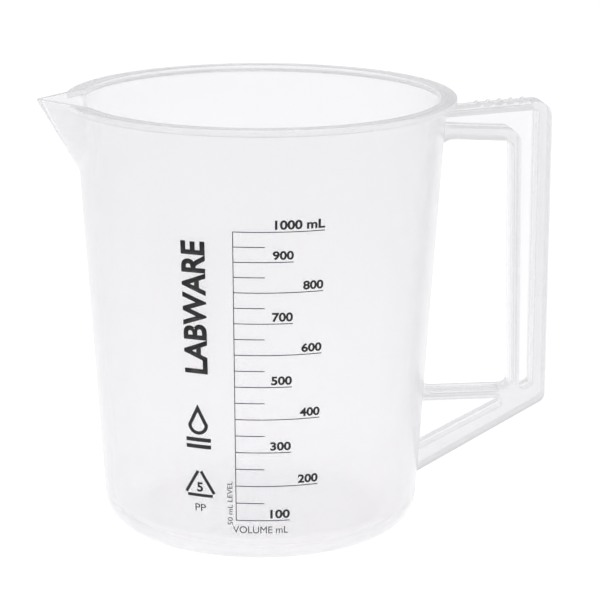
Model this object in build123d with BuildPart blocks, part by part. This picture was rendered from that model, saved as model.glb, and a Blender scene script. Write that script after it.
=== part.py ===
from build123d import *

import os
from math import atan2, cos, degrees, pi, radians, sin, tan

# A one-litre graduated beaker with a handle, moulded in natural polypropylene.
# Millimetres. +Z up, origin on the vessel's axis in the plane it stands on,
# handle towards +X, pouring spout towards -X. Azimuths are in degrees about +Z from +X.

# Vessel
height = 145.0
rim_diameter = 129.2
rim_overhang = 3.45
rim_thickness = 2.2
rim_edge_radius = 0.7
wall = 1.8
wall_draft = 3.52
base_corner_radius = 9.4
floor_thickness = 2.0
foot_recess = 1.2
foot_ring_width = 3.5
foot_edge_radius = 0.4

# Pouring spout: a V whose ridge runs down into the wall
spout_reach = 12.3
spout_depth = 24.0
spout_lip_half_angle = 50.0
spout_foot_half_angle = 78.0

# Handle: an I-section frame with a thin web in its middle plane
handle_width = 10.6
handle_edge_radius = 0.8
web_thickness = 1.8
handle_reach = 36.0
handle_drop = 5.7
top_bar_rise = 3.6
top_flange = 2.75
top_corner_radius = 5.0
grip_flange = 4.7
grip_outer_lean = 0.3
grip_inner_lean = 1.1
grip_depth = 13.3
hand_hole_drop = 15.6
hand_hole_roof_fall = 3.0
hand_hole_floor = 42.1
hand_hole_corner_radius = 2.5
hand_hole_root_radius = 5.0
top_inner_flange = 4.2
grip_inner_flange = 2.8
lower_bar_thickness = 3.1
strut_foot_height = 13.6
strut_underside_angle = 28.8
strut_top_angle = 26.9
strut_foot_depth = 8.0
bottom_corner_radius = 4.0
pocket_corner_radius = 1.5
pocket_divider = 1.4
root_overlap = 1.0

# Thumb ribs across the top bar, the last one set back from the grip's outer face
thumb_rib_count = 5
thumb_rib_pitch = 3.9
thumb_rib_setback = 8.2
thumb_rib_radius = 1.0
thumb_rib_height = 0.5
thumb_rib_margin = 0.6

# Printed scale
ink_thickness = 0.1
line_width = 0.27
scale_azimuth = -105.5
short_line_span = 9.65
medium_line_span = 18.5
long_line_span = 28.05
nominal_share = 0.74
nominal_rounding_ml = 10
mark_count = 20

# Printed lettering
letter_shape = 0.62
letter_pitch = 0.88
numeral_height = 2.9
numeral_stroke = 0.5
numeral_pitch = 2.4
numeral_rise = 0.75
symbol_azimuth = -118.2
word_height = 7.6
word_stroke = 1.35
word_pitch = 6.5
word_middle = 86.7
drop_bottom = 44.2
drop_height = 10.3
drop_width = 6.8
drop_line = 1.15
level_bar_length = 8.4
level_bar_stroke = 1.3
level_bar_heights = (40.2, 42.5)
triangle_middle = 28.0
triangle_side = 10.6
triangle_line = 1.0
triangle_gap = 1.5
triangle_digit_height = 3.3
digit_bottom = 24.6
code_bottom = 18.0
code_height = 2.4
side_note_azimuth = -107.6
side_note_rise = 5.8
side_note_height = 1.6
side_note_stroke = 0.26
note_azimuth = -97.1
note_drop = 4.4
note_height = 2.3
note_stroke = 0.36

# Values worked out from the sizes above
rim_radius = rim_diameter / 2
rim_underside = height - rim_thickness
wall_top_radius = rim_radius - rim_overhang
floor_top = foot_recess + floor_thickness
spout_foot = height - spout_depth
draft_slope = tan(radians(wall_draft))
handle_top = height - handle_drop
hand_hole_roof = height - hand_hole_drop
grip_outer = wall_top_radius + handle_reach


def outer_radius(z):
    """Radius of the outside of the wall at height z."""
    return wall_top_radius - (rim_underside - z) * draft_slope


def inner_radius(z):
    """Radius of the inside of the wall at height z."""
    return outer_radius(z) - wall / cos(radians(wall_draft))


def corner_loss():
    """Volume that the rounded corner at the floor takes from the cone of the inside."""
    corner = base_corner_radius - wall
    corner_centroid = (10 - 3 * pi) / (12 - 3 * pi) * corner
    return (1 - pi / 4) * corner**2 * 2 * pi * (inner_radius(floor_top) - corner_centroid)


def fill_height(millilitres):
    """Height of the liquid when the vessel holds this volume."""
    volume = millilitres * 1000 + corner_loss()
    level_radius = (inner_radius(floor_top) ** 3 + 3 * draft_slope * volume / pi) ** (1 / 3)
    return floor_top + (level_radius - inner_radius(floor_top)) / draft_slope


def brim_volume():
    """Volume in millilitres of the vessel filled to the rim, without the spout."""
    cone = pi / 3 / draft_slope * (inner_radius(height) ** 3 - inner_radius(floor_top) ** 3)
    return (cone - corner_loss()) / 1000


def ridge_radius(z):
    """Radius of the spout's ridge at height z."""
    share = (z - spout_foot) / spout_depth
    foot = outer_radius(spout_foot)
    return foot + share * (outer_radius(height) + spout_reach - foot)


def spout_half_angle(z):
    """Half angle of the spout's V at height z."""
    share = (z - spout_foot) / spout_depth
    return spout_foot_half_angle + share * (spout_lip_half_angle - spout_foot_half_angle)


def spout_corners(z, inset):
    """Corners of the spout's V at height z, set in from its outside by a wall thickness."""
    half_angle = radians(spout_half_angle(z))
    tip = ridge_radius(z) - inset / sin(half_angle)
    root = outer_radius(spout_foot) - wall - inset
    half_width = (tip - root) * tan(half_angle)
    return (-tip, 0), (-root, -half_width), (-root, half_width)


# The outside of the vessel as a solid of revolution, for the vessel and for what seats on it.
foot_ring_inside = outer_radius(0) - base_corner_radius - foot_ring_width
with BuildPart() as envelope:
    with BuildSketch(Plane.XZ):
        with BuildLine():
            FilletPolyline(
                (0, foot_recess),
                (foot_ring_inside - foot_recess, foot_recess),
                (foot_ring_inside, 0),
                (outer_radius(0), 0),
                (wall_top_radius, rim_underside),
                (rim_radius, rim_underside),
                (rim_radius, height),
                (0, height),
                radius=[
                    0,
                    foot_edge_radius,
                    foot_edge_radius,
                    base_corner_radius,
                    foot_edge_radius,
                    rim_edge_radius,
                    rim_edge_radius,
                    0,
                ],
                close=True,
            )
        make_face()
    revolve(axis=Axis.Z)

# Vessel: tapered wall, recessed floor, out-turned rim and V spout in one moulding.
with BuildPart() as vessel:
    add(envelope.part)
    for level in (spout_foot, height):
        with BuildSketch(Plane.XY.offset(level)):
            Polygon(*spout_corners(level, 0), align=None)
    loft(ruled=True)
    with BuildSketch(Plane.XZ):
        with BuildLine():
            FilletPolyline(
                (0, floor_top),
                (inner_radius(floor_top), floor_top),
                (inner_radius(height + wall), height + wall),
                (0, height + wall),
                radius=[0, base_corner_radius - wall, 0, 0],
                close=True,
            )
        make_face()
    revolve(axis=Axis.Z, mode=Mode.SUBTRACT)
    for level in (spout_foot, height + wall):
        with BuildSketch(Plane.XY.offset(level)):
            Polygon(*spout_corners(level, wall), align=None)
    loft(ruled=True, mode=Mode.SUBTRACT)
vessel.part.label = "vessel"


def top_line(r):
    """Height of the top bar's upper face at radius r."""
    return handle_top + (r - wall_top_radius) * tan(radians(top_bar_rise))


def roof_line(r):
    """Height of the hand hole's roof at radius r."""
    return hand_hole_roof - (r - wall_top_radius) * tan(radians(hand_hole_roof_fall))


def grip_outer_line(z):
    """Radius of the grip's outer face at height z."""
    return grip_outer + (handle_top - z) * tan(radians(grip_outer_lean))


def grip_inner_line(z):
    """Radius of the grip's hand-side face at height z."""
    return grip_outer - grip_depth + (handle_top - z) * tan(radians(grip_inner_lean))


def strut_underside(r):
    """Height of the strut's underside at radius r."""
    return strut_foot_height + (r - outer_radius(strut_foot_height)) * tan(radians(strut_underside_angle))


def strut_top(r):
    """Height of the strut's upper face at radius r."""
    foot = outer_radius(strut_foot_height)
    return strut_foot_height + strut_foot_depth + (r - foot) * tan(radians(strut_top_angle))


def bar_meets_strut():
    """Radius at which the lower bar's underside reaches the strut's upper face."""
    rise = hand_hole_floor - lower_bar_thickness - strut_foot_height - strut_foot_depth
    return outer_radius(strut_foot_height) + rise / tan(radians(strut_top_angle))


# Handle: outline with the hand hole, then a pocket each side of the web.
buried = outer_radius(strut_foot_height) - root_overlap
hole_side = outer_radius(hand_hole_floor) - root_overlap
hole_roof_side = outer_radius(hand_hole_roof) - root_overlap
pocket_inner = grip_inner_line(hand_hole_roof) + grip_inner_flange
pocket_inner_foot = grip_inner_line(hand_hole_floor) + grip_inner_flange
pocket_outer = grip_outer_line(handle_top) - grip_flange
pocket_outer_foot = grip_outer_line(hand_hole_floor) - grip_flange
bar_underside = hand_hole_floor - lower_bar_thickness
with BuildPart() as handle:
    with BuildSketch(Plane.XZ):
        with BuildLine():
            FilletPolyline(
                (buried, strut_underside(buried)),
                (grip_outer_line(hand_hole_floor), strut_underside(grip_outer_line(hand_hole_floor))),
                (grip_outer, top_line(grip_outer)),
                (buried, top_line(buried)),
                radius=[0, bottom_corner_radius, top_corner_radius, 0],
                close=True,
            )
        make_face()
        with BuildLine():
            FilletPolyline(
                (hole_side, hand_hole_floor),
                (grip_inner_line(hand_hole_floor), hand_hole_floor),
                (grip_inner_line(hand_hole_roof), roof_line(grip_inner_line(hand_hole_roof))),
                (hole_roof_side, roof_line(hole_roof_side)),
                radius=[
                    hand_hole_root_radius,
                    hand_hole_corner_radius,
                    hand_hole_corner_radius,
                    hand_hole_root_radius,
                ],
                close=True,
            )
        make_face(mode=Mode.SUBTRACT)
    extrude(amount=handle_width / 2, both=True)
    fillet(handle.faces().filter_by(Axis.Y).edges(), handle_edge_radius)
    with BuildSketch(Plane.XZ):
        for rib in range(thumb_rib_count):
            rib_radius = grip_outer - thumb_rib_setback - rib * thumb_rib_pitch
            with Locations((rib_radius, top_line(rib_radius) + thumb_rib_height - thumb_rib_radius)):
                Circle(thumb_rib_radius)
    extrude(amount=handle_width / 2 - thumb_rib_margin, both=True)
    for side in (1, -1):
        with BuildSketch(Plane.XZ.offset(side * web_thickness / 2)):
            with BuildLine():
                FilletPolyline(
                    (buried, top_line(buried) - top_flange),
                    (pocket_outer, top_line(pocket_outer) - top_flange),
                    (pocket_outer_foot, strut_top(pocket_outer_foot) + pocket_divider),
                    (pocket_inner_foot, strut_top(pocket_inner_foot) + pocket_divider),
                    (pocket_inner, roof_line(pocket_inner) + top_inner_flange),
                    (buried, roof_line(buried) + top_inner_flange),
                    radius=[
                        0,
                        pocket_corner_radius,
                        pocket_corner_radius,
                        pocket_corner_radius,
                        hand_hole_corner_radius + grip_inner_flange,
                        0,
                    ],
                    close=True,
                )
            make_face()
            with BuildLine():
                FilletPolyline(
                    (buried, bar_underside),
                    (bar_meets_strut(), bar_underside),
                    (buried, strut_top(buried)),
                    radius=[0, pocket_corner_radius, 0],
                    close=True,
                )
            make_face()
        extrude(amount=side * handle_width, mode=Mode.SUBTRACT)
    add(envelope.part, mode=Mode.SUBTRACT)
handle.part.label = "handle"

# The film that all ink lies in: a thin cone sleeve on the outside of the wall.
ink_bottom = base_corner_radius
ink_top = rim_underside - rim_overhang
ink_step = ink_thickness / cos(radians(wall_draft))
with BuildPart() as ink_film:
    with BuildSketch(Plane.XZ):
        with BuildLine():
            Polyline(
                (outer_radius(ink_bottom), ink_bottom),
                (outer_radius(ink_bottom) + ink_step, ink_bottom),
                (outer_radius(ink_top) + ink_step, ink_top),
                (outer_radius(ink_top), ink_top),
                close=True,
            )
        make_face()
    revolve(axis=Axis.Z)


def wall_plane(azimuth, z, climbing=False):
    """Plane touching the outside of the wall, with its X along the line of writing."""
    turn = radians(azimuth)
    draft = radians(wall_draft)
    outward = Vector(cos(turn) * cos(draft), sin(turn) * cos(draft), -sin(draft))
    sideways = Vector(-sin(turn), cos(turn), 0)
    upward = outward.cross(sideways)
    origin = (outer_radius(z) * cos(turn), outer_radius(z) * sin(turn), z)
    return Plane(origin=origin, x_dir=upward if climbing else sideways, z_dir=outward)


# Centre lines of the plain block characters, on a grid two units wide and two high.
characters = {
    "0": [[(0, 0), (0, 2), (2, 2), (2, 0), (0, 0)]],
    "1": [[(0.6, 1.6), (1.4, 2), (1.4, 0)]],
    "2": [[(0, 2), (2, 2), (2, 1), (0, 1), (0, 0), (2, 0)]],
    "3": [[(0, 2), (2, 2), (2, 0), (0, 0)], [(0.4, 1), (2, 1)]],
    "4": [[(0, 2), (0, 1), (2, 1)], [(1.6, 2), (1.6, 0)]],
    "5": [[(2, 2), (0, 2), (0, 1), (2, 1), (2, 0), (0, 0)]],
    "6": [[(2, 2), (0, 2), (0, 0), (2, 0), (2, 1), (0, 1)]],
    "7": [[(0, 2), (2, 2), (0.8, 0)]],
    "8": [[(0, 0), (0, 2), (2, 2), (2, 0), (0, 0)], [(0, 1), (2, 1)]],
    "9": [[(0, 0), (2, 0), (2, 2), (0, 2), (0, 1), (2, 1)]],
    "A": [[(0, 0), (1, 2), (2, 0)], [(0.4, 0.7), (1.6, 0.7)]],
    "B": [[(0, 0), (0, 2), (1.7, 2), (1.7, 1), (2, 1), (2, 0), (0, 0)], [(0, 1), (1.7, 1)]],
    "E": [[(2, 2), (0, 2), (0, 0), (2, 0)], [(0, 1), (1.7, 1)]],
    "L": [[(0, 2), (0, 0), (2, 0)]],
    "M": [[(0, 0), (0, 2), (1, 0.8), (2, 2), (2, 0)]],
    "O": [[(0, 0), (0, 2), (2, 2), (2, 0), (0, 0)]],
    "P": [[(0, 0), (0, 2), (2, 2), (2, 1), (0, 1)]],
    "R": [[(0, 0), (0, 2), (2, 2), (2, 1), (0, 1)], [(1, 1), (2, 0)]],
    "U": [[(0, 2), (0, 0), (2, 0), (2, 2)]],
    "V": [[(0, 2), (1, 0), (2, 2)]],
    "W": [[(0, 2), (0.5, 0), (1, 1.4), (1.5, 0), (2, 2)]],
    "m": [[(0, 0), (0, 1.2), (2, 1.2), (2, 0)], [(1, 1.2), (1, 0)]],
}


def bar(start, end, stroke):
    """One straight stroke of ink between two points of the open sketch."""
    run = Vector(*end) - Vector(*start)
    middle = (Vector(*start) + Vector(*end)) / 2
    with Locations(middle):
        Rectangle(run.length + stroke, stroke, rotation=degrees(atan2(run.Y, run.X)))


def write(text, size, stroke, pitch, bottom=0.0):
    """A centred line of block characters in the open sketch, standing on bottom."""
    left = -line_length(text, size, pitch) / 2
    across = (size * letter_shape - stroke) / 2
    upward = (size - stroke) / 2
    for index, symbol in enumerate(text):
        for line in characters.get(symbol, []):
            points = [
                (left + index * pitch + stroke / 2 + x * across, bottom + stroke / 2 + y * upward)
                for x, y in line
            ]
            for start, end in zip(points, points[1:]):
                bar(start, end, stroke)


def line_length(text, size, pitch):
    """Length of a line of block characters."""
    return (len(text) - 1) * pitch + size * letter_shape


def press_onto_wall():
    """Turn the open sketch into ink lying on the wall."""
    extrude(amount=wall, both=True)
    add(ink_film.part, mode=Mode.INTERSECT)


def line_corners(level):
    """Corners of a graduation line's section at this height."""
    low = level - line_width / 2
    high = level + line_width / 2
    return (
        (outer_radius(low), low),
        (outer_radius(low) + ink_step, low),
        (outer_radius(high) + ink_step, high),
        (outer_radius(high), high),
    )


pieces = [vessel.part, handle.part]
nominal_ml = round(brim_volume() * nominal_share / nominal_rounding_ml) * nominal_rounding_ml
marks = {step: nominal_ml * step / mark_count for step in range(2, mark_count + 1)}
short_marks = [step for step in marks if step % 2]
medium_marks = [step for step in marks if step % 4 == 2]
long_marks = [step for step in marks if step % 4 == 0]
lowest_ink = fill_height(marks[2]) - line_width / 2
highest_ink = fill_height(nominal_ml) + line_width / 2
axis_half_angle = degrees(line_width / 2 / outer_radius(lowest_ink))

# The upright line that all graduation lines start from
axis_length = (highest_ink - lowest_ink) / cos(radians(wall_draft))
with BuildPart() as scale_axis:
    with BuildSketch(wall_plane(scale_azimuth, (lowest_ink + highest_ink) / 2, climbing=True)):
        Rectangle(axis_length, line_width)
    press_onto_wall()
scale_axis.part.label = "scale_axis"
pieces.append(scale_axis.part)

# Graduation lines, one node for each length of line
for name, levels, span in (
    ("short_graduations", short_marks, short_line_span),
    ("medium_graduations", medium_marks, medium_line_span),
    ("long_graduations", long_marks, long_line_span),
):
    with BuildPart() as graduations:
        for step in levels:
            with BuildSketch(Plane.XZ.rotated((0, 0, scale_azimuth + axis_half_angle))):
                Polygon(*line_corners(fill_height(marks[step])), align=None)
        revolve(axis=Axis.Z, revolution_arc=span - axis_half_angle)
    graduations.part.label = name
    pieces.append(graduations.part)

# Numerals above every tenth of the nominal volume, ending where the line ends
for step in medium_marks + long_marks:
    text = f"{marks[step]:.0f} mL" if step == mark_count else f"{marks[step]:.0f}"
    line_end = scale_azimuth + (medium_line_span if step in medium_marks else long_line_span)
    baseline = fill_height(marks[step]) + numeral_rise
    half_length = line_length(text, numeral_height, numeral_pitch) / 2
    text_middle = line_end - degrees(half_length / outer_radius(baseline))
    with BuildPart() as numeral:
        with BuildSketch(wall_plane(text_middle, baseline)):
            write(text, numeral_height, numeral_stroke, numeral_pitch)
        press_onto_wall()
    numeral.part.label = f"numeral_{step // 2:02d}"
    pieces.append(numeral.part)

# Plain word that reads upwards beside the scale
with BuildPart() as side_word:
    with BuildSketch(wall_plane(symbol_azimuth, word_middle, climbing=True)):
        write("LABWARE", word_height, word_stroke, word_pitch, bottom=-word_height / 2)
    press_onto_wall()
side_word.part.label = "side_word"
pieces.append(side_word.part)

# Plain liquid symbol: the outline of a drop above two level bars
drop_radius = drop_width / 2
with BuildPart() as drop_outline:
    with BuildSketch(wall_plane(symbol_azimuth, drop_bottom)):
        with BuildLine():
            belly = ThreePointArc((-drop_radius, drop_radius), (0, 0), (drop_radius, drop_radius))
            Line(belly @ 1, (0, drop_height))
            Line((0, drop_height), belly @ 0)
        make_face()
        offset(amount=-drop_line, kind=Kind.INTERSECTION, mode=Mode.SUBTRACT)
    press_onto_wall()
drop_outline.part.label = "drop_outline"
pieces.append(drop_outline.part)

with BuildPart() as level_bars:
    for level in level_bar_heights:
        with BuildSketch(wall_plane(symbol_azimuth, level)):
            Rectangle(level_bar_length, level_bar_stroke)
        press_onto_wall()
level_bars.part.label = "level_bars"
pieces.append(level_bars.part)

# Material symbol: three plain bars in a triangle, a digit inside and a code below
triangle_height = triangle_side * sin(radians(60))
triangle_corners = [
    (-triangle_side / 2, -triangle_height / 2),
    (triangle_side / 2, -triangle_height / 2),
    (0, triangle_height / 2),
]
with BuildPart() as material_triangle:
    with BuildSketch(wall_plane(symbol_azimuth, triangle_middle)):
        for start, end in zip(triangle_corners, triangle_corners[1:] + triangle_corners[:1]):
            run = (Vector(*end) - Vector(*start)).normalized() * triangle_gap
            bar(Vector(*start) + run, Vector(*end) - run, triangle_line)
    press_onto_wall()
material_triangle.part.label = "material_triangle"
pieces.append(material_triangle.part)

# Small lines of lettering: node, text, height, stroke and the plane they stand or climb on
division_text = f"{nominal_ml / mark_count:.0f} mL LEVEL"
volume_note_plane = wall_plane(note_azimuth, fill_height(marks[2]) - note_drop)
division_note_plane = wall_plane(
    side_note_azimuth, fill_height(marks[2]) + side_note_rise, climbing=True
)
for name, text, size, stroke, plane, bottom in (
    (
        "material_digit",
        "5",
        triangle_digit_height,
        numeral_stroke,
        wall_plane(symbol_azimuth, digit_bottom),
        0,
    ),
    ("material_code", "PP", code_height, numeral_stroke, wall_plane(symbol_azimuth, code_bottom), 0),
    ("volume_note", "VOLUME mL", note_height, note_stroke, volume_note_plane, 0),
    (
        "division_note",
        division_text,
        side_note_height,
        side_note_stroke,
        division_note_plane,
        -side_note_height / 2,
    ),
):
    with BuildPart() as lettering:
        with BuildSketch(plane):
            write(text, size, stroke, size * letter_pitch, bottom)
        press_onto_wall()
    lettering.part.label = name
    pieces.append(lettering.part)

os.makedirs("parts", exist_ok=True)
for piece in pieces:
    export_step(piece, f"parts/{piece.label}.step")
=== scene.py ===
import math

import bmesh
import bpy
from mathutils import Matrix, Vector


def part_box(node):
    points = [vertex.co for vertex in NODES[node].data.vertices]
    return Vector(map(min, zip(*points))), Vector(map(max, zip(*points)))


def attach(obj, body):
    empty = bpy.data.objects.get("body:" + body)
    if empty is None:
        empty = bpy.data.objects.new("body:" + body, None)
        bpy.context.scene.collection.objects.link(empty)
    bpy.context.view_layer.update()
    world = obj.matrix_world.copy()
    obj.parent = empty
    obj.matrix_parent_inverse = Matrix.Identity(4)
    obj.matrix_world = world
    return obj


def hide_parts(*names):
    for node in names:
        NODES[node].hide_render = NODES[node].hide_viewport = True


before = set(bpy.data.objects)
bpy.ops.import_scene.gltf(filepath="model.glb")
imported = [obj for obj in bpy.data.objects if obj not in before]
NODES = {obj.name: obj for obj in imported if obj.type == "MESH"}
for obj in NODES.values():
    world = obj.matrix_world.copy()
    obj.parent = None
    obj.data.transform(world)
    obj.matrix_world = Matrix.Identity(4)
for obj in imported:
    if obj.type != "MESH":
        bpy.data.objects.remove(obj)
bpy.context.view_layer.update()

bl_info = {
    "name": "Graduated handled beaker",
    "version": (1, 0, 0),
    "blender": (4, 5, 0),
    "location": "View3D > Sidebar > Beaker",
    "description": "Builds a translucent moulded beaker with its printed scale, on a pale floor",
    "category": "Object",
}

MM = 0.001
VESSEL_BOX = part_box("vessel")
HANDLE_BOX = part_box("handle")
RIM_RADIUS = VESSEL_BOX[1].y / MM
HEIGHT = VESSEL_BOX[1].z / MM
SPOUT_TIP = -VESSEL_BOX[0].x / MM
MERGE = 1e-6  # metres: vertices nearer than this are one

# Vessel details, in millimetres unless a line says otherwise
TOUCH = 0.01
LIP_WIDTH = 2.0  # the rim's top is this wide where it belongs to the outer skin
RIM_WIDTH = 3.0  # further in than this is the wall's outside
LIP_ROUNDING = 0.4  # share of the rim's edge rounding that the spout's lip keeps
INNER_CREASE = 0.45
OUTER_CREASE = 0.4
SPOUT_RIDGE = 0.006  # rounding of the spout's ridge, as a sine
SPOUT_FADE = 1.3  # the spout is pulled down to this many of its depths
CROWD = 0.68  # how far the columns gather towards the spout
FINE_ROWS, COARSE_ROWS, COARSE_ROW = 30, 12, 8
FLOOR_RUN, FLOOR_ROWS = 15, 6

# Leans of the handle's faces, in degrees
TOP_LEAN = 3.6
ROOF_LEAN = 3.0
GRIP_OUTER_LEAN = 0.3
GRIP_INNER_LEAN = 1.1
STRUT_UNDER_LEAN = 28.8
STRUT_TOP_LEAN = 26.9

# Handle details, in millimetres
ROOT = 1.0  # how far the handle runs into the wall
TOP_FLANGE = 2.75
ROOF_FLANGE = 4.2
GRIP_INNER_FLANGE = 2.8
GRIP_OUTER_FLANGE = 4.7
POCKET_DIVIDER = 1.4
RIB_RADIUS = 1.0
RIB_RISE = 0.5
RIB_END_GAP = 0.6

# Stage, in metres
FLOOR_HALF = 3.0
SOFTBOXES = (  # name, place, size, power in watts
    ("softbox_top", (0.1, -0.1, 1.3), 0.9, 4.1),
    ("softbox_left", (-1.2, -0.7, 0.8), 0.7, 1.2),
)
LIGHT_AIM = (0, 0, 0.07)
ROOM_WALLS = (0.54, 0.54, 0.555, 1)
ROOM_CEILING = (0.52, 0.52, 0.53, 1)
CAMERA_PLACE = (-0.0978, -0.7850, 0.2830)
CAMERA_AIM = (0, 0, 0.07505)
CAMERA_LENS = 146.09  # millimetres
CAMERA_SENSOR = 36  # millimetres
CAMERA_SHIFT = 0.0657
LIGHT_TURNS = 32

# CAD node, its wording, whether it climbs the wall, and whether it is bold
LETTERING = {f"numeral_{step:02d}": (str(100 * step), False, True) for step in range(1, 10)}
LETTERING.update({
    "numeral_10": ("1000 mL", False, True),
    "volume_note": ("VOLUME mL", False, False),
    "material_digit": ("5", False, True),
    "material_code": ("PP", False, False),
    "division_note": ("50 mL LEVEL", True, False),
    "side_word": ("LABWARE", True, True),
})


# ---------------------------------------------------------------- properties


class VesselSizes(bpy.types.PropertyGroup):
    """Sizes of the vessel, in millimetres"""

    rim_overhang: bpy.props.FloatProperty(
        name="Rim overhang",
        description="How far the rim stands out from the wall", default=3.45, min=1
    )
    rim_thickness: bpy.props.FloatProperty(
        name="Rim thickness", description="Height of the out-turned rim", default=2.2, min=0.5
    )
    rim_edge: bpy.props.FloatProperty(
        name="Rim edge radius", description="Rounding of the rim's edges", default=0.7, min=0.1
    )
    wall: bpy.props.FloatProperty(
        name="Wall", description="Thickness of the moulded wall", default=1.8, min=0.5
    )
    draft: bpy.props.FloatProperty(
        name="Draft", description="Lean of the wall", default=math.radians(3.52), subtype="ANGLE"
    )
    base_corner: bpy.props.FloatProperty(
        name="Base corner radius", description="Rounding between wall and base", default=9.4, min=1
    )
    floor_thickness: bpy.props.FloatProperty(
        name="Floor", description="Thickness of the floor", default=2.0, min=0.5
    )
    foot_recess: bpy.props.FloatProperty(
        name="Foot recess",
        description="How far the floor is raised inside the foot ring", default=1.2
    )
    foot_ring: bpy.props.FloatProperty(
        name="Foot ring", description="Width of the ring it stands on", default=3.5, min=0.5
    )
    spout_depth: bpy.props.FloatProperty(
        name="Spout depth", description="How far the spout runs down the wall", default=24.0, min=5
    )
    spout_lip: bpy.props.FloatProperty(
        name="Spout half angle", description="Half angle of the spout's V at the rim",
        default=math.radians(50), subtype="ANGLE",
    )
    spout_foot: bpy.props.FloatProperty(
        name="Spout foot half angle", description="Half angle of the spout's V where it runs out",
        default=math.radians(78), subtype="ANGLE",
    )
    columns: bpy.props.IntProperty(
        name="Columns", description="Steps round the vessel", default=360, min=60, max=720
    )


class HandleSizes(bpy.types.PropertyGroup):
    """Sizes of the handle, in millimetres"""

    edge: bpy.props.FloatProperty(
        name="Edge radius", description="Rounding of the frame's edges", default=0.8, min=0.1
    )
    web: bpy.props.FloatProperty(
        name="Web", description="Thickness of the web between the flanges", default=1.8, min=0.5
    )
    reach: bpy.props.FloatProperty(
        name="Reach", description="How far the grip stands out from the wall", default=36.0, min=20
    )
    grip_depth: bpy.props.FloatProperty(
        name="Grip depth",
        description="Depth of the grip at its top, from front to back", default=13.3, min=5
    )
    top_drop: bpy.props.FloatProperty(
        name="Top drop",
        description="How far the top edge lies below the rim at the wall", default=5.7
    )
    roof_drop: bpy.props.FloatProperty(
        name="Hand hole drop",
        description="How far the hand hole's roof lies below the rim", default=15.6
    )
    hole_floor: bpy.props.FloatProperty(
        name="Hand hole floor", description="Height of the hand hole's floor", default=42.1
    )
    lower_bar: bpy.props.FloatProperty(
        name="Lower bar",
        description="Thickness of the bar under the hand hole", default=3.1, min=1
    )
    strut_foot: bpy.props.FloatProperty(
        name="Strut foot",
        description="Height at which the sloping strut leaves the wall", default=13.6
    )
    strut_depth: bpy.props.FloatProperty(
        name="Strut depth",
        description="Depth of the sloping strut at the wall", default=8.0, min=2
    )
    rib_count: bpy.props.IntProperty(
        name="Thumb ribs",
        description="Number of ribs across the top of the grip", default=5, min=0, max=9
    )
    rib_pitch: bpy.props.FloatProperty(
        name="Rib pitch",
        description="Distance from one thumb rib to the next", default=3.9, min=2.1
    )
    rib_setback: bpy.props.FloatProperty(
        name="Rib setback",
        description="How far the first thumb rib lies from the grip's outside", default=8.2
    )


class PrintSizes(bpy.types.PropertyGroup):
    """Sizes of the printed lettering"""

    boldness: bpy.props.FloatProperty(
        name="Boldness",
        description="Growth of each stroke, as a share of the letters' size", default=0.032,
        min=0, max=0.05, subtype="FACTOR",
    )
    film: bpy.props.FloatProperty(
        name="Ink film", description="Thickness of the ink in millimetres", default=0.1, min=0.01
    )


class PlasticLook(bpy.types.PropertyGroup):
    """Look of the natural polypropylene"""

    roughness: bpy.props.FloatProperty(
        name="Roughness",
        description="Blur of the moulded plastic", default=0.22, min=0, max=1, subtype="FACTOR"
    )
    clearness: bpy.props.FloatProperty(
        name="Clearness", description="Share of light that passes through", default=1.0,
        min=0, max=1, subtype="FACTOR",
    )
    milkiness: bpy.props.FloatProperty(
        name="Milkiness", description="Times light is turned aside in a metre of plastic",
        default=140.0, min=0,
    )


# ---------------------------------------------------------------- small tools


def outer_radius(z):
    """Radius in millimetres of the wall's outside at height z."""
    sizes = bpy.context.scene.beaker_vessel
    under = HEIGHT - sizes.rim_thickness
    return RIM_RADIUS - sizes.rim_overhang - (under - z) * math.tan(sizes.draft)


def inner_radius(z):
    """Radius in millimetres of the wall's inside at height z."""
    sizes = bpy.context.scene.beaker_vessel
    return outer_radius(z) - sizes.wall / math.cos(sizes.draft)


def slope(degrees):
    """Rise over run of a lean given in degrees."""
    return math.tan(math.radians(degrees))


def linear(code):
    """Linear colour of an sRGB hex value."""
    values = [int(code[i : i + 2], 16) / 255 for i in (1, 3, 5)]
    return [v / 12.92 if v <= 0.04045 else ((v + 0.055) / 1.055) ** 2.4 for v in values] + [1.0]


def finish_piece(mesh_data, name, replaced=()):
    """Link a finished mesh as a piece that rides on the body and stands for CAD nodes."""
    piece = bpy.data.objects.new(name, mesh_data)
    bpy.context.scene.collection.objects.link(piece)
    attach(piece, "root")
    if replaced:
        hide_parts(*replaced)
    return piece


def mesh_from(bm, name):
    """A mesh holding the bmesh, which is freed."""
    mesh = bpy.data.meshes.new(name)
    bm.to_mesh(mesh)
    bm.free()
    return mesh


def rounded_corners(points, radii, steps):
    """The corners of an outline with each one rounded to its radius by short runs."""
    outline = []
    count = len(points)
    for i in range(count):
        before, corner, after = (Vector(points[(i + k) % count]) for k in (-1, 0, 1))
        radius = radii[i]
        if not radius:
            outline.append(corner)
            continue
        to_before = (before - corner).normalized()
        to_after = (after - corner).normalized()
        half = to_before.angle(to_after) / 2
        run = radius / math.tan(half)
        centre = corner + (to_before + to_after).normalized() * (radius / math.sin(half))
        start = corner + to_before * run - centre
        stop = corner + to_after * run - centre
        turn = start.angle_signed(stop)
        for step in range(steps + 1):
            spoke = start.copy()
            spoke.rotate(Matrix.Rotation(-turn * step / steps, 2))
            outline.append(centre + spoke)
    return outline


# ---------------------------------------------------------------- vessel


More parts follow.
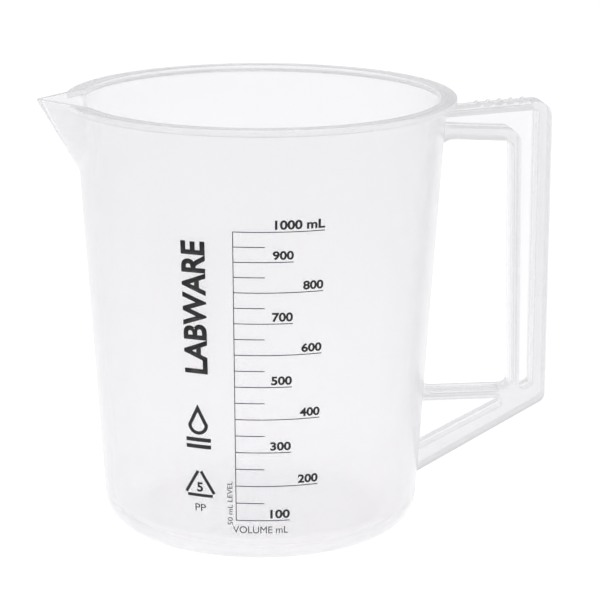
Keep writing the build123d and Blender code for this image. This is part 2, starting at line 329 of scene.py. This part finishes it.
def profile_points():
    """Section of the vessel, from the floor's outside over the rim to the floor's inside."""
    s = bpy.context.scene.beaker_vessel
    under = HEIGHT - s.rim_thickness
    floor_top = s.foot_recess + s.floor_thickness
    ring_inside = outer_radius(0) - s.base_corner - s.foot_ring
    corners = [
        (0, s.foot_recess),
        (ring_inside - s.foot_recess, s.foot_recess),
        (ring_inside, 0),
        (outer_radius(0), 0),
        (outer_radius(under), under),
        (RIM_RADIUS, under),
        (RIM_RADIUS, HEIGHT),
        (inner_radius(HEIGHT), HEIGHT),
        (inner_radius(floor_top), floor_top),
        (0, floor_top),
    ]
    radii = [0, 0.4, 0.4, s.base_corner, 0.5, 0.5, s.rim_edge, 0.5, s.base_corner - s.wall, 0]
    return rounded_corners(corners, radii, 6)


def spout_radius(azimuth, z, inset):
    """Radius of the spout's V at this angle from its ridge, set in by a wall thickness."""
    s = bpy.context.scene.beaker_vessel
    foot = HEIGHT - s.spout_depth
    share = min(max((z - foot) / s.spout_depth, -0.3), 1.05)
    half = s.spout_foot + share * (s.spout_lip - s.spout_foot)
    tip = outer_radius(foot) + share * (SPOUT_TIP - outer_radius(foot)) - inset / math.sin(half)
    nearest = math.pi / 2 - half
    if abs(azimuth) > nearest:
        return tip * math.sin(half)
    across = math.sqrt(math.sin(azimuth) ** 2 + SPOUT_RIDGE**2) - SPOUT_RIDGE
    return tip / (math.cos(azimuth) + across / math.tan(half))


def soft_max(a, b, blend):
    """The larger of two numbers, with the change from one to the other rounded off."""
    share = min(max(0.5 + 0.5 * (b - a) / blend, 0), 1)
    return a + (b - a) * share + blend * share * (1 - share)


def pull_spout(bm):
    """Push a skin of the vessel out to the spout's V, with soft creases beside it."""
    s = bpy.context.scene.beaker_vessel
    upper_edge = HEIGHT - s.rim_edge - TOUCH
    for vert in bm.verts:
        radius = math.hypot(vert.co.x, vert.co.y) / MM
        z = vert.co.z / MM
        if z < HEIGHT - s.spout_depth * SPOUT_FADE or radius < RIM_RADIUS / 2:
            continue
        azimuth = math.atan2(vert.co.y, -vert.co.x)
        middle = (outer_radius(z) + inner_radius(z)) / 2
        is_inner = radius < middle or (z > upper_edge and radius < RIM_RADIUS - LIP_WIDTH)
        target = spout_radius(azimuth, z, s.wall if is_inner else 0)
        if is_inner:
            target += radius - inner_radius(z)
            new = soft_max(radius, target, INNER_CREASE)
        else:
            if z > upper_edge:
                target -= LIP_ROUNDING * (RIM_RADIUS - radius)
            on_wall = radius < RIM_RADIUS - RIM_WIDTH
            new = soft_max(radius, target, OUTER_CREASE) if on_wall else max(radius, target)
        vert.co.x *= new / radius
        vert.co.y *= new / radius


def section_rows():
    """The vessel's section with rows added down the wall and across the floor."""
    outline = profile_points()
    rows = []
    for start, stop in zip(outline, outline[1:]):
        rows.append(start)
        if abs(stop.y - start.y) > HEIGHT / 2:
            top, bottom = max(start.y, stop.y), min(start.y, stop.y)
            breaks = [top - k for k in range(1, FINE_ROWS)]
            breaks += [top - FINE_ROWS - COARSE_ROW * k for k in range(COARSE_ROWS)]
            breaks = [z for z in breaks if z > bottom + 1]
            if stop.y > start.y:
                breaks.reverse()
            for z in breaks:
                share = (z - start.y) / (stop.y - start.y)
                rows.append(start + (stop - start) * share)
        elif (stop - start).length > FLOOR_RUN:
            for k in range(1, FLOOR_ROWS):
                rows.append(start + (stop - start) * k / FLOOR_ROWS)
    rows.append(outline[-1])
    return rows


def make_vessel():
    """The vessel as a closed mesh: a spun section whose wall is pulled out to the spout."""
    s = bpy.context.scene.beaker_vessel
    bm = bmesh.new()
    section = [bm.verts.new((p.x * MM, 0, p.y * MM)) for p in section_rows()]
    edges = [bm.edges.new(pair) for pair in zip(section, section[1:])]
    bmesh.ops.spin(
        bm, geom=section + edges, cent=(0, 0, 0), axis=(0, 0, 1), dvec=(0, 0, 0),
        angle=math.tau, steps=s.columns, use_merge=True,
    )
    bmesh.ops.remove_doubles(bm, verts=bm.verts, dist=MERGE)
    for vert in bm.verts:
        radius = math.hypot(vert.co.x, vert.co.y)
        if radius > MERGE:
            turn = math.atan2(vert.co.y, vert.co.x)
            turn += CROWD * math.sin(turn)
            vert.co.x, vert.co.y = radius * math.cos(turn), radius * math.sin(turn)
    pull_spout(bm)
    bmesh.ops.remove_doubles(bm, verts=bm.verts, dist=2 * MERGE)
    bmesh.ops.recalc_face_normals(bm, faces=bm.faces)
    return mesh_from(bm, "vessel_skin")


# ---------------------------------------------------------------- handle


def slab(outline, half_width, name):
    """A plate of the given outline, lying in the handle's plane."""
    bm = bmesh.new()
    verts = [bm.verts.new((p[0] * MM, -half_width * MM, p[1] * MM)) for p in outline]
    face = bm.faces.new(verts)
    grown = bmesh.ops.extrude_face_region(bm, geom=[face])
    moved = [g for g in grown["geom"] if isinstance(g, bmesh.types.BMVert)]
    bmesh.ops.translate(bm, verts=moved, vec=(0, 2 * half_width * MM, 0))
    bmesh.ops.recalc_face_normals(bm, faces=bm.faces)
    return mesh_from(bm, name)


def combine(base, tool, operation):
    """The mesh left when one closed mesh is joined to or cut from another."""
    first = bpy.data.objects.new("combine_base", base)
    second = bpy.data.objects.new("combine_tool", tool)
    for item in (first, second):
        bpy.context.scene.collection.objects.link(item)
    modifier = first.modifiers.new("combine", "BOOLEAN")
    modifier.operation = operation
    modifier.solver = "EXACT"
    modifier.object = second
    evaluated = first.evaluated_get(bpy.context.evaluated_depsgraph_get())
    made = bpy.data.meshes.new_from_object(evaluated)
    bpy.data.objects.remove(first)
    bpy.data.objects.remove(second)
    return made


def soften_edges(mesh, half):
    """The frame with the edges of its two side faces rounded."""
    s = bpy.context.scene.beaker_handle
    bm = bmesh.new()
    bm.from_mesh(mesh)
    bmesh.ops.remove_doubles(bm, verts=bm.verts, dist=MERGE)
    rims = [
        e for e in bm.edges
        if len(e.link_faces) == 2
        and abs(e.verts[0].co.y) > 0.99 * half * MM
        and abs(e.verts[0].co.y - e.verts[1].co.y) < MERGE
        and abs(abs(e.link_faces[0].normal.y) - abs(e.link_faces[1].normal.y)) > 0.5
    ]
    bmesh.ops.bevel(
        bm, geom=rims, offset=s.edge * MM, segments=4, profile=0.5, affect="EDGES",
        material=-1, offset_type="OFFSET", clamp_overlap=False,
    )
    return mesh_from(bm, "handle_frame")


def thumb_rib(r, top, half):
    """A half-buried round bar across the top of the grip, at radius r."""
    bm = bmesh.new()
    length = half - RIB_END_GAP
    bmesh.ops.create_circle(bm, cap_ends=True, radius=RIB_RADIUS * MM, segments=32)
    upright = Matrix.Rotation(math.pi / 2, 3, "X")
    bmesh.ops.rotate(bm, verts=bm.verts, cent=(0, 0, 0), matrix=upright)
    place = (r * MM, length * MM, (top + RIB_RISE - RIB_RADIUS) * MM)
    bmesh.ops.translate(bm, verts=bm.verts, vec=place)
    grown = bmesh.ops.extrude_face_region(bm, geom=bm.faces[:])
    moved = [g for g in grown["geom"] if isinstance(g, bmesh.types.BMVert)]
    bmesh.ops.translate(bm, verts=moved, vec=(0, -2 * length * MM, 0))
    bmesh.ops.recalc_face_normals(bm, faces=bm.faces)
    return mesh_from(bm, "thumb_rib")


def make_handle():
    """The handle: an I-section frame with soft edges round a thin web."""
    s = bpy.context.scene.beaker_handle
    vessel = bpy.context.scene.beaker_vessel
    half = HANDLE_BOX[1].y / MM
    wall_top = RIM_RADIUS - vessel.rim_overhang
    grip = wall_top + s.reach
    top = HEIGHT - s.top_drop
    roof = HEIGHT - s.roof_drop
    strut_r = outer_radius(s.strut_foot)
    buried = strut_r - ROOT

    def top_line(r):
        return top + (r - wall_top) * slope(TOP_LEAN)

    def roof_line(r):
        return roof - (r - wall_top) * slope(ROOF_LEAN)

    def outer_line(z):
        return grip + (top - z) * slope(GRIP_OUTER_LEAN)

    def inner_line(z):
        return grip - s.grip_depth + (top - z) * slope(GRIP_INNER_LEAN)

    def underside(r):
        return s.strut_foot + (r - strut_r) * slope(STRUT_UNDER_LEAN)

    def strut_top(r):
        return s.strut_foot + s.strut_depth + (r - strut_r) * slope(STRUT_TOP_LEAN)

    corner, corner_foot = outer_radius(top) - ROOT, outer_line(s.hole_floor)
    outer = rounded_corners(
        [
            (buried, underside(buried)),
            (corner_foot, underside(corner_foot)),
            (grip, top_line(grip)),
            (corner, top_line(corner)),
        ],
        [0, 4, 5, 0], 8,
    )
    side_low, side_high = outer_radius(s.hole_floor) - ROOT, outer_radius(roof) - ROOT
    hole = rounded_corners(
        [
            (side_low, s.hole_floor),
            (inner_line(s.hole_floor), s.hole_floor),
            (inner_line(roof), roof_line(inner_line(roof))),
            (side_high, roof_line(side_high)),
        ],
        [5, 2.5, 2.5, 5], 6,
    )
    pocket_in = inner_line(roof) + GRIP_INNER_FLANGE
    pocket_in_foot = inner_line(s.hole_floor) + GRIP_INNER_FLANGE
    pocket_out = outer_line(top) - GRIP_OUTER_FLANGE
    pocket_out_foot = outer_line(s.hole_floor) - GRIP_OUTER_FLANGE
    near = side_high
    pocket = rounded_corners(
        [
            (near, top_line(near) - TOP_FLANGE),
            (pocket_out, top_line(pocket_out) - TOP_FLANGE),
            (pocket_out_foot, strut_top(pocket_out_foot) + POCKET_DIVIDER),
            (pocket_in_foot, strut_top(pocket_in_foot) + POCKET_DIVIDER),
            (pocket_in, roof_line(pocket_in) + ROOF_FLANGE),
            (near, roof_line(near) + ROOF_FLANGE),
        ],
        [0, 1.5, 1.5, 1.5, 5.3, 0], 6,
    )
    bar_under = s.hole_floor - s.lower_bar
    meets = strut_r + (bar_under - s.strut_foot - s.strut_depth) / slope(STRUT_TOP_LEAN)
    near_low = outer_radius(strut_top(buried)) - ROOT
    triangle = rounded_corners(
        [(near_low, bar_under), (meets, bar_under), (near_low, strut_top(near_low))],
        [0, 1.5, 0], 6,
    )
    frame_mesh = slab(outer, half, "handle_frame")
    for cut in (hole, pocket, triangle):
        frame_mesh = combine(frame_mesh, slab(cut, half * 2, "handle_cut"), "DIFFERENCE")
    frame_mesh = soften_edges(frame_mesh, half)
    web_out, web_out_foot = pocket_out + 2, pocket_out_foot + 2
    # The web's edges lie inside the flanges all round.
    web_outline = rounded_corners(
        [
            (near, top_line(near) - 1.4),
            (web_out, top_line(web_out) - 1.4),
            (web_out_foot, underside(web_out_foot) + 4),
            (buried, underside(buried) + 2),
            (near_low, bar_under + 1),
            (pocket_in_foot - 1, s.hole_floor - 1.5),
            (pocket_in - 1, roof_line(pocket_in) + 1.5),
            (near, roof_line(near) + 1.5),
        ],
        [0, 2, 2, 0, 0, 2, 3, 0], 4,
    )
    handle_mesh = combine(frame_mesh, slab(web_outline, s.web / 2, "handle_web"), "UNION")
    for k in range(s.rib_count):
        r = grip - s.rib_setback - s.rib_pitch * k
        handle_mesh = combine(handle_mesh, thumb_rib(r, top_line(r), half), "UNION")
    return handle_mesh


# ---------------------------------------------------------------- materials


def add_node(tree, kind, settings=None, inputs=None, links=None):
    """Add a node with its settings, its input values and the links into it."""
    node = tree.nodes.new(kind)
    for key, value in (settings or {}).items():
        setattr(node, key, value)
    for key, value in (inputs or {}).items():
        node.inputs[key].default_value = value
    for key, socket in (links or {}).items():
        tree.links.new(socket, node.inputs[key])
    return node


def natural_polypropylene():
    """Polypropylene with no pigment, injection moulded in a polished mould.

    It is milky rather than clear, so what stands behind it is blurred, thick parts
    look a little darker and cooler, and the skin keeps a soft gloss with faint waves."""
    look = bpy.context.scene.beaker_look
    material = bpy.data.materials.new("natural_polypropylene_moulded")
    material.use_nodes = True
    tree = material.node_tree
    tree.nodes.clear()
    place = add_node(tree, "ShaderNodeTexCoord")
    flow = add_node(
        tree, "ShaderNodeTexNoise", {"noise_dimensions": "3D"},
        {"Scale": 1 / (30 * MM), "Detail": 3.0, "Roughness": 0.5},
        {"Vector": place.outputs["Object"]},
    )
    skin = add_node(
        tree, "ShaderNodeTexNoise", {},
        {"Scale": 1 / (3 * MM), "Detail": 2.0, "Roughness": 0.5},
        {"Vector": place.outputs["Object"]},
    )
    tint = add_node(
        tree, "ShaderNodeMix", {"data_type": "RGBA"}, {}, {"Factor": flow.outputs["Fac"]},
    )
    tint.inputs["A"].default_value = linear("#F8F8F9")
    tint.inputs["B"].default_value = linear("#FAF9FA")
    blur = add_node(
        tree, "ShaderNodeMapRange", {},
        {"To Min": look.roughness - 0.04, "To Max": look.roughness + 0.04},
        {"Value": flow.outputs["Fac"]},
    )
    waves = add_node(
        tree, "ShaderNodeBump", {}, {"Strength": 0.08, "Distance": 0.05 * MM},
        {"Height": skin.outputs["Fac"]},
    )
    plastic = add_node(
        tree, "ShaderNodeBsdfPrincipled", {},
        {
            "IOR": 1.49, "Transmission Weight": look.clearness, "Specular IOR Level": 0.5,
            "Subsurface Weight": 0.0,
        },
        {
            "Base Color": tint.outputs["Result"],
            "Roughness": blur.outputs["Result"],
            "Normal": waves.outputs["Normal"],
        },
    )
    # Thick parts turn a little cooler, and the milk turns light aside about every 7 mm.
    depth = add_node(
        tree, "ShaderNodeVolumeAbsorption", {}, {"Color": linear("#D4D4E4"), "Density": 1.0},
    )
    milk = add_node(
        tree, "ShaderNodeVolumeScatter", {},
        {"Color": linear("#FFFFFF"), "Density": look.milkiness, "Anisotropy": 0.4},
    )
    body = add_node(
        tree, "ShaderNodeAddShader", {}, {},
        {0: depth.outputs["Volume"], 1: milk.outputs["Volume"]},
    )
    add_node(
        tree, "ShaderNodeOutputMaterial", {}, {},
        {"Surface": plastic.outputs["BSDF"], "Volume": body.outputs["Shader"]},
    )
    return material


def screen_ink():
    """Black two-part screen ink, cured on the wall.

    It is matt and dense, with a slight mottle where the film is thinner."""
    material = bpy.data.materials.new("black_screen_ink_printed")
    material.use_nodes = True
    tree = material.node_tree
    tree.nodes.clear()
    place = add_node(tree, "ShaderNodeTexCoord")
    mottle = add_node(
        tree, "ShaderNodeTexNoise", {}, {"Scale": 1 / (0.6 * MM), "Detail": 3.0},
        {"Vector": place.outputs["Object"]},
    )
    shade = add_node(
        tree, "ShaderNodeMix", {"data_type": "RGBA"}, {}, {"Factor": mottle.outputs["Fac"]},
    )
    shade.inputs["A"].default_value = linear("#0B0B0D")
    shade.inputs["B"].default_value = linear("#1A1A1D")
    film = add_node(
        tree, "ShaderNodeBsdfPrincipled", {}, {"Roughness": 0.55, "IOR": 1.5},
        {"Base Color": shade.outputs["Result"]},
    )
    add_node(tree, "ShaderNodeOutputMaterial", {}, {}, {"Surface": film.outputs["BSDF"]})
    return material


def studio_paper():
    """Matt white background paper, with the faint tooth of its pulp and a painted glow of its own
    that stands in for light from below.
    """
    material = bpy.data.materials.new("white_paper_with_painted_glow")
    material.use_nodes = True
    tree = material.node_tree
    tree.nodes.clear()
    place = add_node(tree, "ShaderNodeTexCoord")
    pulp = add_node(
        tree, "ShaderNodeTexNoise", {}, {"Scale": 1 / (4 * MM), "Detail": 4.0},
        {"Vector": place.outputs["Object"]},
    )
    shade = add_node(
        tree, "ShaderNodeMix", {"data_type": "RGBA"}, {}, {"Factor": pulp.outputs["Fac"]},
    )
    shade.inputs["A"].default_value = linear("#BCBCBD")
    shade.inputs["B"].default_value = linear("#C2C2C2")
    spread = add_node(
        tree, "ShaderNodeVectorMath", {"operation": "LENGTH"}, {}, {0: place.outputs["Object"]},
    )
    # Painted light: the paper glows as though lit from below, most of all where the beaker stands,
    # a painted pool of light that also fills the beaker's shadow.
    painted_glow_pool = add_node(
        tree, "ShaderNodeMapRange", {"interpolation_type": "SMOOTHSTEP"},
        {"From Min": 0.05, "From Max": 0.60, "To Min": 0.77, "To Max": 0.72},
        {"Value": spread.outputs["Value"]},
    )
    paper = add_node(
        tree, "ShaderNodeBsdfPrincipled", {},
        {"Roughness": 0.9, "Emission Color": linear("#FFFEFE")},
        {"Base Color": shade.outputs["Result"], "Emission Strength": painted_glow_pool.outputs["Result"]},
    )
    material.cycles.emission_sampling = "NONE"
    add_node(tree, "ShaderNodeOutputMaterial", {}, {}, {"Surface": paper.outputs["BSDF"]})
    return material


# ---------------------------------------------------------------- stage


def soft_white_room():
    """A white room whose walls and ceiling give an even, slightly cool light."""
    world = bpy.data.worlds.new("soft_white_room")
    world.use_nodes = True
    tree = world.node_tree
    tree.nodes.clear()
    direction = add_node(tree, "ShaderNodeTexCoord")
    parts = add_node(
        tree, "ShaderNodeSeparateXYZ", {}, {}, {"Vector": direction.outputs["Generated"]},
    )
    climb = add_node(
        tree, "ShaderNodeMapRange", {"interpolation_type": "SMOOTHSTEP"},
        {"From Min": 0.15, "From Max": 0.75}, {"Value": parts.outputs["Z"]},
    )
    shade = add_node(
        tree, "ShaderNodeMix", {"data_type": "RGBA"}, {}, {"Factor": climb.outputs["Result"]},
    )
    shade.inputs["A"].default_value = ROOM_WALLS
    shade.inputs["B"].default_value = ROOM_CEILING
    room = add_node(
        tree, "ShaderNodeBackground", {}, {"Strength": 1.0}, {"Color": shade.outputs["Result"]},
    )
    add_node(tree, "ShaderNodeOutputWorld", {}, {}, {"Surface": room.outputs["Background"]})
    return world


def place_facing(scene, name, data, place, target):
    """Link a lamp or camera that stands at a place and faces a target."""
    item = bpy.data.objects.new(name, data)
    scene.collection.objects.link(item)
    item.location = place
    aim = Vector(target) - item.location
    item.rotation_euler = aim.to_track_quat("-Z", "Y").to_euler()
    return item


# ---------------------------------------------------------------- lettering


def wall_place(name, climbing):
    """The lettering's box on the unrolled wall, in metres: along its line and up its letters."""
    mesh = NODES[name].data
    turns = [math.atan2(v.co.y, v.co.x) for v in mesh.vertices]
    heights = [v.co.z for v in mesh.vertices]
    if climbing:
        return (min(heights), max(heights)), (max(turns), min(turns))
    return (min(turns), max(turns)), (min(heights), max(heights))


def letters_on_wall(name, text, climbing, bold):
    """Sans-serif lettering as a thin film of ink that follows the wall."""
    s = bpy.context.scene.beaker_print
    curve = bpy.data.curves.new(name + "_line", "FONT")
    curve.body = text
    curve.offset = s.boldness if bold else 0
    curve.resolution_u = 6
    holder = bpy.data.objects.new(name + "_line", curve)
    flat = bpy.data.meshes.new_from_object(holder)
    bpy.data.objects.remove(holder)
    bm = bmesh.new()
    bm.from_mesh(flat)
    bmesh.ops.remove_doubles(bm, verts=bm.verts, dist=1e-5)
    low = [min(v.co[k] for v in bm.verts) for k in (0, 1)]
    high = [max(v.co[k] for v in bm.verts) for k in (0, 1)]
    grown = bmesh.ops.extrude_face_region(bm, geom=list(bm.faces))
    raised = [g for g in grown["geom"] if isinstance(g, bmesh.types.BMVert)]
    bmesh.ops.translate(bm, verts=raised, vec=(0, 0, 1))
    along, up = wall_place(name, climbing)
    for vert in bm.verts:
        share = [(vert.co[k] - low[k]) / (high[k] - low[k]) for k in (0, 1)]
        run = along[0] + share[0] * (along[1] - along[0])
        rise = up[0] + share[1] * (up[1] - up[0])
        turn, height = (rise, run) if climbing else (run, rise)
        radius = (outer_radius(height / MM) + s.film * vert.co.z) * MM
        vert.co = (radius * math.cos(turn), radius * math.sin(turn), height)
    bmesh.ops.recalc_face_normals(bm, faces=bm.faces)
    return mesh_from(bm, name + "_letters")


# ---------------------------------------------------------------- operators


class MakeMoulding(bpy.types.Operator):
    """Make the vessel and its handle as one moulding"""

    bl_idname = "beaker.moulding"
    bl_label = "Vessel and handle"

    def execute(self, context):
        moulding = combine(make_vessel(), make_handle(), "UNION")
        bm = bmesh.new()
        bm.from_mesh(moulding)
        bmesh.ops.remove_doubles(bm, verts=bm.verts, dist=2 * MERGE)
        bmesh.ops.dissolve_degenerate(bm, edges=bm.edges, dist=MERGE)
        bm.to_mesh(moulding)
        bm.free()
        moulding.materials.clear()
        moulding.materials.append(natural_polypropylene())
        for face in moulding.polygons:
            face.use_smooth = True
            face.material_index = 0
        moulding.set_sharp_from_angle(angle=math.radians(32))
        piece = finish_piece(moulding, "moulding", ("vessel", "handle"))
        weights = piece.modifiers.new("even_normals", "WEIGHTED_NORMAL")
        weights.keep_sharp = True
        return {"FINISHED"}


class MakePrint(bpy.types.Operator):
    """Give the printed scale its ink"""

    bl_idname = "beaker.print"
    bl_label = "Printed scale"

    def execute(self, context):
        ink = screen_ink()
        for name, (text, climbing, bold) in LETTERING.items():
            letters = letters_on_wall(name, text, climbing, bold)
            letters.materials.append(ink)
            finish_piece(letters, name + "_letters", (name,))
        for name, node in NODES.items():
            if name in ("vessel", "handle") or name in LETTERING:
                continue
            node.data.materials.clear()
            node.data.materials.append(ink)
        return {"FINISHED"}


class MakeStage(bpy.types.Operator):
    """Lay the floor, set the lights and place the camera"""

    bl_idname = "beaker.stage"
    bl_label = "Floor, lights and camera"

    def execute(self, context):
        bm = bmesh.new()
        bmesh.ops.create_grid(bm, x_segments=8, y_segments=8, size=FLOOR_HALF)
        floor = bpy.data.objects.new("floor", mesh_from(bm, "floor"))
        context.scene.collection.objects.link(floor)
        floor.data.materials.append(studio_paper())

        context.scene.world = soft_white_room()
        for name, place, size, power in SOFTBOXES:
            light = bpy.data.lights.new(name, "AREA")
            light.shape = "SQUARE"
            light.size = size
            light.energy = power
            place_facing(context.scene, name, light, place, LIGHT_AIM)

        camera_data = bpy.data.cameras.new("camera")
        camera_data.lens = CAMERA_LENS
        camera_data.sensor_width = CAMERA_SENSOR
        camera_data.shift_x = CAMERA_SHIFT
        context.scene.camera = place_facing(
            context.scene, "camera", camera_data, CAMERA_PLACE, CAMERA_AIM
        )
        context.scene.view_settings.view_transform = "Standard"
        # Light turns many times inside milky plastic, and filtering it would darken thick parts.
        for kind in ("max", "diffuse", "glossy", "transmission", "volume"):
            setattr(context.scene.cycles, kind + "_bounces", LIGHT_TURNS)
        context.scene.cycles.blur_glossy = 0.0
        return {"FINISHED"}


class BeakerPanel(bpy.types.Panel):
    """The sidebar panel that lists the sizes and the steps"""

    bl_idname = "VIEW3D_PT_beaker"
    bl_label = "Graduated beaker"
    bl_space_type = "VIEW_3D"
    bl_region_type = "UI"
    bl_category = "Beaker"

    def draw(self, context):
        column = self.layout.column()
        for name in GROUPS:
            group = getattr(context.scene, name)
            for key in group.__annotations__:
                column.prop(group, key)
        for operator in OPERATORS:
            column.operator(operator.bl_idname)


GROUPS = {
    "beaker_vessel": VesselSizes, "beaker_handle": HandleSizes, "beaker_print": PrintSizes,
    "beaker_look": PlasticLook,
}
OPERATORS = (MakeMoulding, MakePrint, MakeStage)


def register():
    """Register the sizes, the steps and the panel."""
    for name, group in GROUPS.items():
        bpy.utils.register_class(group)
        setattr(bpy.types.Scene, name, bpy.props.PointerProperty(type=group))
    for item in OPERATORS + (BeakerPanel,):
        bpy.utils.register_class(item)


def unregister():
    """Remove what register added."""
    for item in reversed(OPERATORS + (BeakerPanel,)):
        bpy.utils.unregister_class(item)
    for name, group in GROUPS.items():
        delattr(bpy.types.Scene, name)
        bpy.utils.unregister_class(group)


def main():
    """Build the beaker and its stage."""
    register()
    bpy.ops.beaker.moulding()
    bpy.ops.beaker.print()
    bpy.ops.beaker.stage()


if __name__ == "__main__":
    main()
